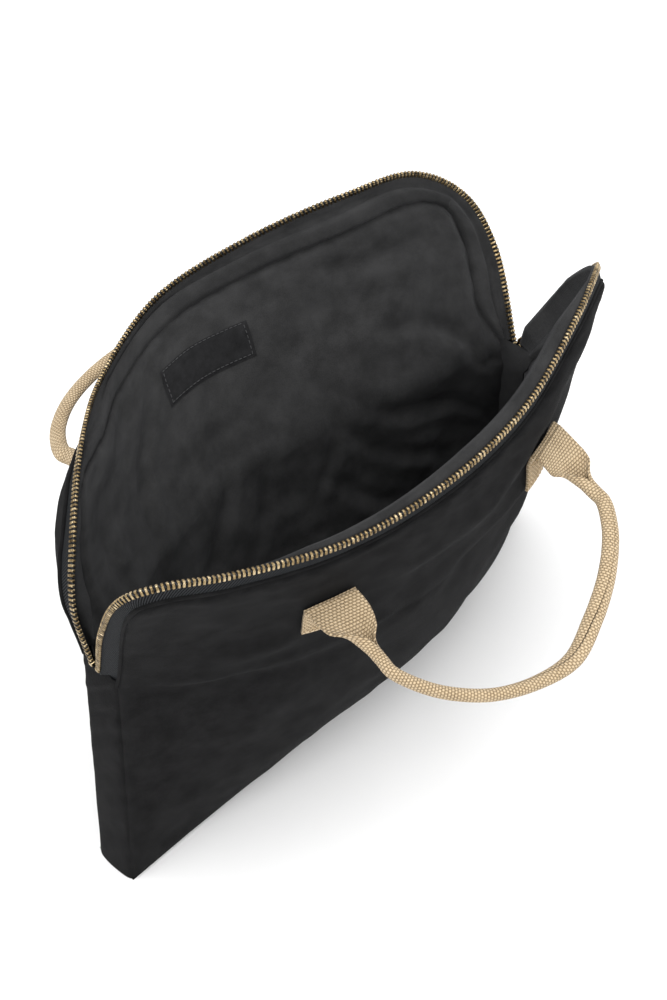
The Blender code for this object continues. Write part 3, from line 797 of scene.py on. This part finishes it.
# ==================== gussets
def make_side_gusset(name, left):
    """A side gusset, puffed between its seams, with creases below the end of the zip."""
    top_v = ZIP_END_V + GUSSET_RISE
    outward = np.array([-1.0 if left else 1.0, 0.0, 0.0])
    v = np.linspace(0.0, top_v, 64)
    front, back = side_edge("front", v, left), side_edge("back", v, left)
    across = np.linspace(0.0, 1.0, 17)
    strip = strip_between(front, back, across)
    width = np.linalg.norm(back - front, axis=-1)[:, None]
    distance = np.minimum(across, 1 - across)[None] * width
    near_top = np.exp(-(top_v - v) * HEIGHT / 0.045)[:, None]
    slant = (v * HEIGHT)[:, None] + (across - 0.5)[None] * 0.028
    creases = CREASE_DEPTH * near_top * np.sin(2 * math.pi * slant / CREASE_SPACING)
    soft = 0.0005 * np.sin(2 * math.pi * slant / 0.052 + 1.0)
    relief = puff(distance) + (creases + soft) * ease(distance / 0.006)
    points = strip + outward * relief[..., None]
    piece = patch_object(
        f"{name}_gusset_canvas", [(points, metres(v * HEIGHT, across * DEPTH), 0)], [CANVAS]
    )
    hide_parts(f"{name}_gusset")
    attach(piece, "shell")

    v = np.linspace(0.010, top_v + 0.008, 44)
    edge_u = np.full(len(v), 0.008 if left else 0.992)
    front, back = lining_points("front", edge_u, v), lining_points("back", edge_u, v)
    inner = strip_between(front, back, across)
    inner = inner - outward * (0.0012 + 0.0012 * np.sin(math.pi * across))[None, :, None]
    piece = patch_object(
        f"{name}_gusset_inner", [(inner, metres(v * HEIGHT, across * 0.02), 0)], [LINING]
    )
    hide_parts(f"{name}_gusset_lining")
    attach(piece, "shell")


def make_bottom_gusset():
    """The strip that the sleeve stands on, and the lining above it."""
    u = cloth_steps(WIDTH)
    across = np.linspace(0.0, 1.0, 13)
    front, back = bottom_edge("front", u), bottom_edge("back", u)
    strip = strip_between(front, back, across)
    sag = 0.0004 * np.sin(math.pi * across)[None] * (1 + 0.5 * np.sin(u * 40)[:, None])
    strip[..., 2] += sag
    piece = patch_object(
        "bottom_gusset_canvas", [(strip, metres(u * WIDTH, across * DEPTH), 0)], [CANVAS]
    )
    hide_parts("bottom_gusset")
    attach(piece, "shell")

    inner_u = 0.008 + 0.984 * u
    foot = np.full(len(u), 0.010)
    front, back = lining_points("front", inner_u, foot), lining_points("back", inner_u, foot)
    inner = strip_between(front, back, across)
    inner[..., 2] -= 0.0008 * np.sin(math.pi * across)
    piece = patch_object(
        "bottom_gusset_inner", [(inner, metres(u * WIDTH, across * 0.02), 0)], [LINING]
    )
    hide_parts("bottom_gusset_lining")
    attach(piece, "shell")


# ==================== zip
def tooth_template():
    """One tooth: a head beyond the tape's edge and two legs clamped over its bead.

    Its own axes are along the zip, into the panel and out of the tape.
    """
    head = rounded_block((0.00150, 0.0020, 0.0022), 0.00045)
    head[0][:, 1] -= 0.0006
    parts = [head]
    for face in (-1, 1):
        leg = rounded_block((0.00140, 0.0026, 0.0008), 0.0003)
        leg[0][:, 1] += 0.0009
        leg[0][:, 2] += face * 0.00095
        parts.append(leg)
    verts, faces = merged_blocks(parts)
    verts[:, 0] += 0.00050 * np.abs(verts[:, 2]) / 0.00135
    return verts, faces


def zip_axes(half, tooth):
    """Places on the zip's line with the axes along it, into the panel and out of the tape."""
    line, along, _, outward = (along_path(part, tooth / TEETH) for part in ZIP[half])
    edge = along_path(EDGE[half], tooth / TEETH)
    along = unit(along)
    into = edge - line
    into = unit(into - (into * along).sum(axis=1, keepdims=True) * along)
    out = np.cross(along, into)
    out *= np.sign((out * outward).sum(axis=1, keepdims=True))
    return line, along, into, out, edge


def make_zip_half(half):
    """Tape, teeth and top stop of one half of the zip."""
    tooth = np.arange(TEETH) + 0.5
    line, along, into, out, _ = zip_axes(half, tooth)
    axes = np.stack([along, into, out], axis=1)
    verts, faces = repeated(tooth_template(), line, axes)
    piece = mesh_object(f"{half}_teeth", verts, faces, [BRASS])
    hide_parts(f"{half}_zip_teeth")
    bend(piece)

    tooth = np.linspace(-0.5, TEETH, 460)
    line, along, into, out, edge = zip_axes(half, tooth)
    shares = np.array([0.0, 0.04, 0.10, 0.30, 0.60, 0.85, 1.0])
    sag = 0.0006 * np.sin(math.pi * shares) + 0.0016 * shares ** 3
    reach = (edge - line) * 1.06 - into * 0.0003
    upper = [line + reach * s - out * (g - 0.00035) for s, g in zip(shares, sag)]
    lower = [line + reach * s - out * (g + 0.00035) for s, g in zip(shares[::-1], sag[::-1])]
    points = np.stack([*upper, *lower, upper[0]])
    points[:, 0] -= along[0] * TAPE_TAIL
    points[:, -1] += along[-1] * TAPE_TAIL
    across_metres = np.concatenate([shares, shares[::-1] + 1, [2.0]]) * TAPE
    patches = [(points, metres(across_metres, tooth * TOOTH_PITCH), 0)]
    tape = patch_object(f"{half}_tape", patches, [TAPE_GREY])

    turn, section = ring(BEAD_RADIUS, 10)
    bead = sweep(line - into * 0.0001, into, out, section)
    patches = [(bead, metres(tooth * TOOTH_PITCH, turn * 0.00085), 0)]
    bead_piece = patch_object(f"{half}_tape_bead", patches, [TAPE_GREY])
    for piece in (tape, bead_piece):
        bend(piece)
    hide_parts(f"{half}_zip_tape")

    set_look(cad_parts[f"{half}_top_stop"], BRASS)


def set_look(node, look):
    """A better material on a CAD node."""
    node.data.materials.clear()
    node.data.materials.append(look)


def make_zip_end():
    """The closed stretch at the right end: engaged teeth on their tape, slider and puller."""
    low, high = np.array(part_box("engaged_teeth"))
    middle = (low + high) / 2
    count = int((high[2] - low[2]) / TOOTH_PITCH)
    template = rounded_block((0.0024, 0.0030, 0.00125), 0.0003)
    places, axes = [], []
    for row, side in enumerate((-1, 1)):
        for step in range(count):
            rise = low[2] + TOOTH_PITCH * (step + 0.45 + 0.5 * row)
            places.append((middle[0], side * 0.0012, rise))
            axes.append(np.eye(3))
    verts, faces = repeated(template, np.array(places), np.array(axes))
    piece = mesh_object("closed_teeth", verts, faces, [BRASS])
    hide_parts("engaged_teeth")
    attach(piece, "shell")

    low, high = np.array(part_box("zip_end_tape"))
    across = np.linspace(low[1], high[1], 13)
    rise = np.linspace(low[2], high[2], 9)
    bow = 0.0008 * np.cos(np.linspace(-1, 1, 13) * math.pi / 2)
    sheets = []
    for x in (low[0], high[0]):
        grid = np.stack(np.meshgrid([x], across, rise, indexing="ij"), axis=-1)[0]
        grid[..., 0] += bow[:, None]
        sheets.append((grid, metres(across, rise), 0))
    tape = patch_object("closed_tape", sheets, [TAPE_GREY])
    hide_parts("zip_end_tape")
    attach(tape, "shell")
    for name in ("slider", "puller", "bottom_stop"):
        set_look(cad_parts[name], BRASS)


# ==================== handles
def webbing_section(wrap):
    """Closed outline of the webbing across its length, its edges curled up by the angle wrap."""
    wrap = max(wrap, 0.02)
    turn = np.linspace(-0.5, 0.5, 33) * wrap
    radius = WEBBING / wrap
    inner_radius = radius - WEBBING_THICK
    outer = np.stack([radius * np.sin(turn), radius * (1 - np.cos(turn))], axis=-1)
    inner = np.stack([inner_radius * np.sin(turn), radius - inner_radius * np.cos(turn)], axis=-1)
    outline = np.vstack([outer, inner[::-1], outer[:1]])
    outline[:, 1] -= (outline[:, 1].max() + outline[:, 1].min()) / 2
    rolled = ease(wrap / GRIP_WRAP)
    return outline * np.array([1 + 0.14 * rolled, 1 - 0.25 * rolled])


def make_handle(half):
    """One handle: sewn tabs that bend over at their folds, then the rolled grip."""
    fold_u, fold_v = np.array(FOLD_POINTS[half]).T
    across, climb, wall_out = panel_frame(half, fold_u, fold_v)
    folds = panel_points(half, fold_u, fold_v) + wall_out * FOLD_LIFT
    axis = unit(folds[1] - folds[0])
    out = np.array([0.0, SIDE[half] * math.cos(DROOP[half]), -math.sin(DROOP[half])])
    out = unit(out - np.dot(out, axis) * axis)
    upper = np.cross(axis, out)
    upper *= np.sign(upper[2])

    middle = folds.mean(axis=0)
    half_span = np.linalg.norm(folds[1] - folds[0]) / 2
    arch = [(-half_span, 0.0), (-half_span, 0.020)]
    arch += [(share * half_span - half_span, reach) for share, reach in ARCH]
    arch += [(-x, reach) for x, reach in arch[-2::-1]]
    arch = np.array(arch)
    past_strap = np.clip(arch[:, 1] - STRAP_REACH, 0.0, None)
    arch[:, 1] -= past_strap * (FLATTENING[half] + SHORTFALL[half] * ease(arch[:, 0] / half_span) ** 0.5)
    path = np.array([middle + axis * x + out * reach for x, reach in arch])
    hang = arch[:, 1:] / ARCH[-1][1]
    path += hang * (axis * LEAN[half] - np.array([0.0, 0.0, SAG[half]]))
    count = 320
    path = smooth_route(path, count)
    tangent = unit(np.gradient(path, axis=0))
    length = np.linalg.norm(np.diff(path, axis=0), axis=1).sum()
    run = np.linspace(0.0, length, count)
    from_fold = np.minimum(run, length - run)

    wrap = ease((from_fold - STRAP_FLAT) / ROLL_RUN) * GRIP_WRAP
    side = unit(np.cross(tangent, upper))
    for end, near in ((0, run), (1, length - run)):
        share = (1 - ease(near / 0.030))[:, None]
        local = unit(across[end] + climb[end] * FOLD_SLANT[end])
        local *= np.sign(np.dot(local, side[0 if end == 0 else -1]))
        side = unit(side * (1 - share) + local * share)
    lift = 0.0022 * (1 - ease(from_fold / 0.040))
    top = np.cross(side, tangent)
    top *= np.sign((top * upper).sum(axis=1, keepdims=True))
    untwist = 1 - 1.35 * ease((run / length - 0.30) / 0.45)
    twist = (GRIP_TWIST[half] * ease(from_fold / 0.050) * untwist)[:, None]
    turned_side = side * np.cos(twist) + top * np.sin(twist)
    turned_top = top * np.cos(twist) - side * np.sin(twist)
    sections = np.stack([webbing_section(w) for w in wrap]) * np.array([1.0, CURL[half]])
    points = sweep(path + upper * lift[:, None], turned_side, turned_top, sections)
    around = np.linspace(0.0, 2 * WEBBING, sections.shape[1])
    strap = patch_object(f"{half}_webbing", [(points, metres(run, around), 0)], [TAN])
    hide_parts(f"{half}_grip", f"{half}_strap_left", f"{half}_strap_right")
    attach(strap, f"{half}_handle")

    for end, name in enumerate(("left", "right")):
        strap_start = path[0 if end == 0 else -1] + upper * 0.0022
        make_tab(half, name, fold_u[end], fold_v[end], FOLD_SLANT[end], out, strap_start)


def make_tab(half, name, u, v, slant, out, strap_start):
    """The sewn end of the webbing, up the panel and over the fold to the strap's start."""
    shares = np.linspace(0.0, 1.0, 15)
    tab_u = u + (shares - 0.5) * WEBBING / WIDTH
    rows = []
    for drop in np.linspace(TAB_LENGTH, 0.0055, 12):
        climb = slant * (shares - 0.5) * WEBBING * (1 - drop / TAB_LENGTH)
        row_v = v + (climb - drop) / HEIGHT
        rise = panel_frame(half, tab_u, row_v)[2]
        lift = canvas_relief(half, tab_u, row_v) + 0.0008 + 0.0008 * ease(1 - drop / 0.012)
        rows.append(panel_points(half, tab_u, row_v) + rise * lift[:, None])
    last, before = rows[-1], rows[-2]
    climb = unit(last - before)
    local = unit(last[-1] - last[0])
    target = strap_start + local * ((shares - 0.5) * WEBBING)[:, None] + out * 0.002
    size = 0.0072
    for t in np.linspace(0.12, 1.0, 9):
        first = (1 - t) ** 3 * last + 3 * (1 - t) ** 2 * t * (last + climb * size)
        second = 3 * (1 - t) * t ** 2 * (target - out * size) + t ** 3 * target
        rows.append(first + second)
    outer = np.stack(rows)
    normal = unit(np.cross(np.gradient(outer, axis=0), np.gradient(outer, axis=1)))
    wall_out = panel_frame(half, np.array([u]), np.array([v]))[2][0]
    normal *= np.sign(np.dot(normal[0, 7], wall_out))
    top = outer + normal * WEBBING_THICK
    closed = np.concatenate([top, outer[:, ::-1], top[:, :1]], axis=1)
    run = np.concatenate([[0.0], np.cumsum(np.linalg.norm(np.diff(outer[:, 7], axis=0), axis=1))])
    around = np.concatenate([shares, 1 + shares, [2.0]]) * WEBBING
    patches = [(closed, metres(run, around), 0)]
    end_metres = metres([0.0, WEBBING_THICK], shares * WEBBING)
    for row in (0, -1):
        patches.append((np.stack([top[row], outer[row]]), end_metres, 0))
    tab = patch_object(f"{half}_sewn_{name}", patches, [TAN])
    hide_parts(f"{half}_tab_{name}")
    bend(tab)
    stitches = box_stitches(top[:10], normal[:10])
    thread = mesh_object(f"{half}_stitches_{name}", *stitches, [TAN_THREAD])
    bend(thread)


def box_stitches(surface, normal, crossed=True):
    """Stitches round a rectangle, and across it if crossed, on a grid of surface points."""
    rows, columns = surface.shape[:2]
    last, right = rows - 1, columns - 2
    lines = [((1, 1), (1, right)), ((last, 1), (last, right))]
    lines += [((1, 1), (last, 1)), ((1, right), (last, right))]
    if crossed:
        lines += [((1, 1), (last, right)), ((1, right), (last, 1))]
    places, axes = [], []
    for start, end in lines:
        steps = np.linspace(start, end, 60)
        track = np.array([grid_point(surface, row, column) for row, column in steps])
        length = np.linalg.norm(np.diff(track, axis=0), axis=1).sum()
        stops = even_points(track, max(3, int(length / 0.0029)) * 2 + 1)
        for a, b in zip(stops[0:-1:2], stops[1::2]):
            along = unit(b - a)
            out = normal[rows // 2, columns // 2]
            across = unit(np.cross(out, along))
            places.append((a + b) / 2 + out * 0.0002)
            axes.append(np.stack([along, across, np.cross(along, across)]))
    template = rounded_block((0.0021, 0.00055, 0.00055), 0.0002)
    return repeated(template, np.array(places), np.array(axes))


def grid_point(grid, row, column):
    """A point between the points of a grid."""
    r, c = min(int(row), grid.shape[0] - 2), min(int(column), grid.shape[1] - 2)
    a, b = row - r, column - c
    low = grid[r, c] * (1 - b) + grid[r, c + 1] * b
    high = grid[r + 1, c] * (1 - b) + grid[r + 1, c + 1] * b
    return low * (1 - a) + high * a


def make_label():
    """The plain woven label on the back lining, with its stitched border."""
    (left, low), (right, high) = LABEL_CORNERS
    u, v, shape = flat_grid(np.linspace(left, right, 61), np.linspace(low, high, 25))
    edge = np.minimum(np.minimum(u - left, right - u) * WIDTH, np.minimum(v - low, high - v) * HEIGHT)
    v = v - LABEL_SLANT * (u - left) / (right - left)
    inward = -panel_frame("back", u, v)[2]
    lift = 0.0006 + 0.0005 * ease(edge / 0.003)
    patch = panel_patch(lining_points("back", u, v) + inward * lift[:, None], u, v, shape)
    grid = patch[0]
    piece = patch_object("woven_label", [patch], [LABEL])
    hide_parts("inner_label")
    bend(piece)
    inward = inward.reshape(*shape, 3)
    stitches = box_stitches(grid[1:-1, 1:-1], inward[1:-1, 1:-1], crossed=False)
    thread = mesh_object("label_stitches", *stitches, [BLACK_THREAD])
    bend(thread)


# ==================== stage, light and camera
def make_stage():
    """A pale floor, plain soft light from above and both sides, and a bright surround."""
    floor_look = Look("pale_floor", 0.9)
    floor_noise = floor_look.noise(floor_look.place(), 30.0)
    pale = floor_look.ramp(floor_noise, [(0.0, (0.90, 0.90, 0.90)), (1.0, (0.92, 0.92, 0.92))])
    floor_look.put(pale, floor_look.shader.inputs["Base Color"])
    square = np.array([(-1, -1, 0), (1, -1, 0), (1, 1, 0), (-1, 1, 0)])
    corners = square * 6.0 - np.array([0.0, 0.0, 0.0005])
    floor = mesh_object("floor", corners, np.array([[0, 1, 2, 3]]), [floor_look.material])

    world = bpy.data.worlds.new("soft_surround")
    world.use_nodes = True
    surround = world.node_tree.nodes["Background"].inputs
    surround["Color"].default_value = (1.0, 1.0, 1.0, 1.0)
    surround["Strength"].default_value = 0.92
    bpy.context.scene.world = world
    bpy.context.scene.view_settings.view_transform = "Standard"
    soft_light("top_light", (0.2, -0.1, 2.0), 1.8, 30.0)
    soft_light("left_light", (-1.6, -0.9, 1.2), 1.2, 16.0)
    soft_light("right_light", (1.5, -1.3, 1.1), 1.0, 9.0)


def soft_light(name, place, size, power):
    """A square area light aimed at the sleeve."""
    light = bpy.data.lights.new(name, "AREA")
    light.size = size
    light.energy = power
    lamp = bpy.data.objects.new(name, light)
    lamp.location = place
    aim = Vector((0.0, 0.0, 0.14)) - lamp.location
    lamp.rotation_euler = aim.to_track_quat("-Z", "Y").to_euler()
    bpy.context.scene.collection.objects.link(lamp)


def make_camera():
    """The camera, from the front left and above, tilted a little about its own axis."""
    place = (-0.4046, -0.5448, 0.8612)
    azimuth, elevation, roll = math.radians(-37.5), math.radians(45.7), math.radians(-8.8)
    back = Vector((
        math.sin(azimuth) * math.cos(elevation),
        -math.cos(azimuth) * math.cos(elevation),
        math.sin(elevation),
    ))
    level_right = (-back).cross(Vector((0, 0, 1))).normalized()
    level_up = level_right.cross(-back)
    right = level_right * math.cos(roll) + level_up * math.sin(roll)
    up = level_up * math.cos(roll) - level_right * math.sin(roll)
    data = bpy.data.cameras.new("camera")
    data.lens = 58.5
    camera = bpy.data.objects.new("camera", data)
    turn = Matrix((right, up, back)).transposed()
    camera.matrix_world = Matrix.Translation(place) @ turn.to_4x4()
    bpy.context.scene.collection.objects.link(camera)
    bpy.context.scene.camera = camera


# ==================== build
make_camera()
make_stage()
for half_name in SIDE:
    make_canvas(half_name)
    make_lining(half_name)
    make_facing(half_name)
    make_zip_half(half_name)
    make_handle(half_name)
make_side_gusset("left", True)
make_side_gusset("right", False)
make_bottom_gusset()
make_zip_end()
make_label()
